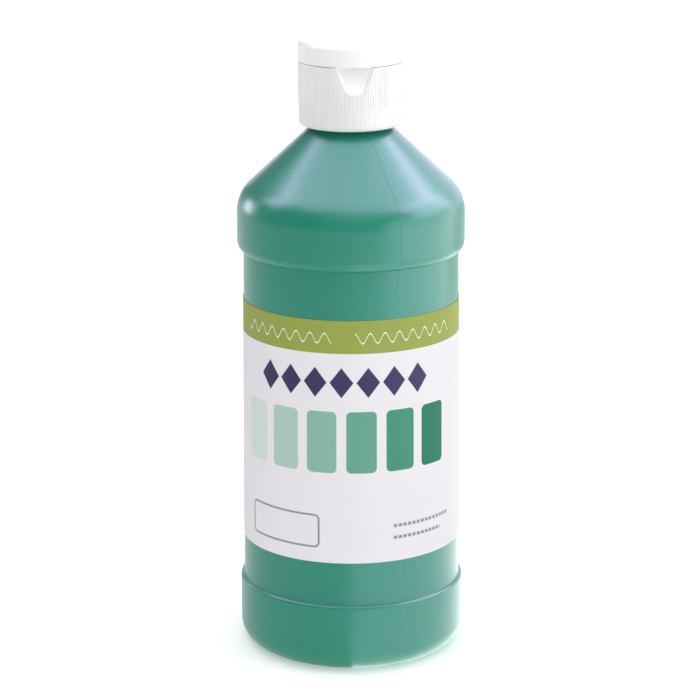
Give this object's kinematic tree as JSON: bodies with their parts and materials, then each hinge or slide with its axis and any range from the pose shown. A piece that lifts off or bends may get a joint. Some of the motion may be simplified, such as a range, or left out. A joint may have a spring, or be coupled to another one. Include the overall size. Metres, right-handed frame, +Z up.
{
  "type": "squeeze bottle",
  "caption": "Squeeze bottle of poster paint: translucent body with bumper rings and a cone shoulder, wrap label, ribbed screw closure with a flip-top lid.",
  "frame": {"origin": "centre of the base on the table", "axes": "+Z up along the bottle's axis, -Y towards the front of the label"},
  "size_m": [0.069, 0.069, 0.1886],
  "materials": {
    "natural_hdpe": "translucent natural HDPE, satin gloss",
    "paint": "wet",
    "label_film": "printed film, satin",
    "foam": "closed-cell foam",
    "white_pp": "moulded polypropylene, satin"
  },
  "bodies": {
    "bottle": {"bottle": "natural_hdpe", "bottle_neck": "natural_hdpe", "paint": "paint", "label": "label_film"},
    "liner": {"cap_liner": "foam"},
    "closure": {"cap_core": "white_pp", "cap_skirt": "white_pp", "hinge_film_left": "white_pp", "hinge_film_right": "white_pp", "hinge_spring": "white_pp"},
    "lid": {"lid": "white_pp"}
  },
  "joints": [
    {"name": "cap_rise", "type": "slide", "parent": "bottle", "child": "liner", "axis": [0, 0, 1], "range_m": [0, 0.00636]},
    {"name": "cap_screw", "type": "hinge", "parent": "liner", "child": "closure", "pos_m": [0, 0, 0.17975], "axis": [0, 0, 1], "range_deg": [0, 540]},
    {"name": "lid_hinge", "type": "hinge", "parent": "closure", "child": "lid", "pos_m": [-0.00135, 0.01548, 0.18218], "axis": [-0.9962, -0.0872, 0], "range_deg": [0, 165], "deforming": ["hinge_film_left", "hinge_film_right", "hinge_spring"]}
  ],
  "couplings": [
    {"joint": "cap_rise", "follows": "cap_screw", "m_per_rad": 0.0006737}
  ]
}
